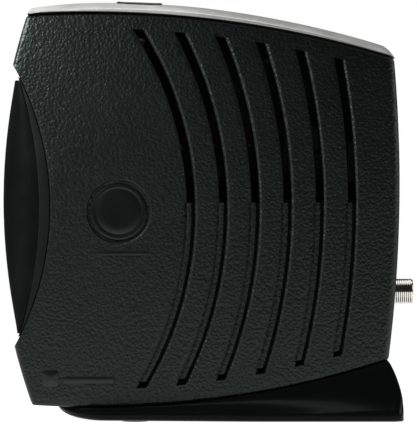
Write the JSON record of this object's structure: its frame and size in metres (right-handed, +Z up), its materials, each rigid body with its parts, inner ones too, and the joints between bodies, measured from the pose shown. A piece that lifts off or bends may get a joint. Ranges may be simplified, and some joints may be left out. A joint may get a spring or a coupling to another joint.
{
  "type": "cable modem",
  "caption": "Upright cable modem with bowed slotted side shells, lens front, bright top trim, standby button, rear sockets and a flared stand.",
  "frame": {"origin": "centre of the overall box at the bottom of the rubber feet", "axes": "+X from the lens front to the sockets on the back, +Y across the thickness, +Z up"},
  "size_m": [0.1588, 0.057, 0.1609],
  "materials": {
    "shell": "fine pebble grain",
    "bezel": "smooth satin",
    "lens": "smoked gloss",
    "light_pipe": "clear moulded",
    "trim": "silver satin",
    "button": "satin",
    "switch_body": "moulded",
    "switch_plunger": "moulded",
    "stand": "smooth satin",
    "foot": "matt",
    "screw": "zinc plated",
    "board": "solder mask",
    "tin": "tinned",
    "connector": "nickel plated",
    "insulator": "moulded",
    "contact": "gold plated",
    "socket": "moulded",
    "led": "clear epoxy",
    "chip": "moulded",
    "heat_sink": "black anodised",
    "capacitor": "sleeved",
    "inductor": "ferrite",
    "ceramic": "ceramic"
  },
  "bodies": {
    "housing": {"left_shell": "shell", "right_shell": "shell", "front_bezel": "bezel", "front_lens": "lens", "light_pipes": "light_pipe", "top_trim": "trim", "standby_switch": "switch_body", "back_panel": "shell", "back_screws": "screw", "stand": "stand", "stand_plate": "stand", "stand_feet": "foot", "stand_screws": "screw", "main_board": "board", "board_screws": "screw", "tuner_can": "tin", "tuner_lid": "tin", "cable_connector": "connector", "cable_nut": "connector", "cable_insulator": "insulator", "cable_contact": "contact", "ethernet_jack": "socket", "ethernet_shield": "tin", "ethernet_contacts": "contact", "usb_shell": "tin", "usb_insulator": "insulator", "usb_contacts": "contact", "power_jack": "socket", "power_pin": "connector", "reset_switch": "switch_body", "status_leds": "led", "main_chip": "chip", "heat_sink": "heat_sink", "memory_chips": "chip", "capacitors": "capacitor", "power_inductor": "inductor", "ethernet_transformer": "chip", "clock_crystal": "tin", "small_parts": "ceramic"},
    "standby_key": {"standby_button": "button"},
    "standby_contact": {"standby_plunger": "switch_plunger"},
    "reset_contact": {"reset_plunger": "switch_plunger"}
  },
  "joints": [
    {"name": "standby_press", "type": "slide", "parent": "housing", "child": "standby_key", "axis": [0, 0, -1], "range_m": [0, 0.0005], "stiffness_N_per_m": 600},
    {"name": "standby_contact_press", "type": "slide", "parent": "housing", "child": "standby_contact", "axis": [0, 0, -1], "range_m": [0, 0.0005]},
    {"name": "reset_press", "type": "slide", "parent": "housing", "child": "reset_contact", "axis": [-1, 0, 0], "range_m": [0, 0.0005], "stiffness_N_per_m": 400}
  ],
  "couplings": [
    {"joint": "standby_contact_press", "follows": "standby_press", "ratio": 1}
  ]
}
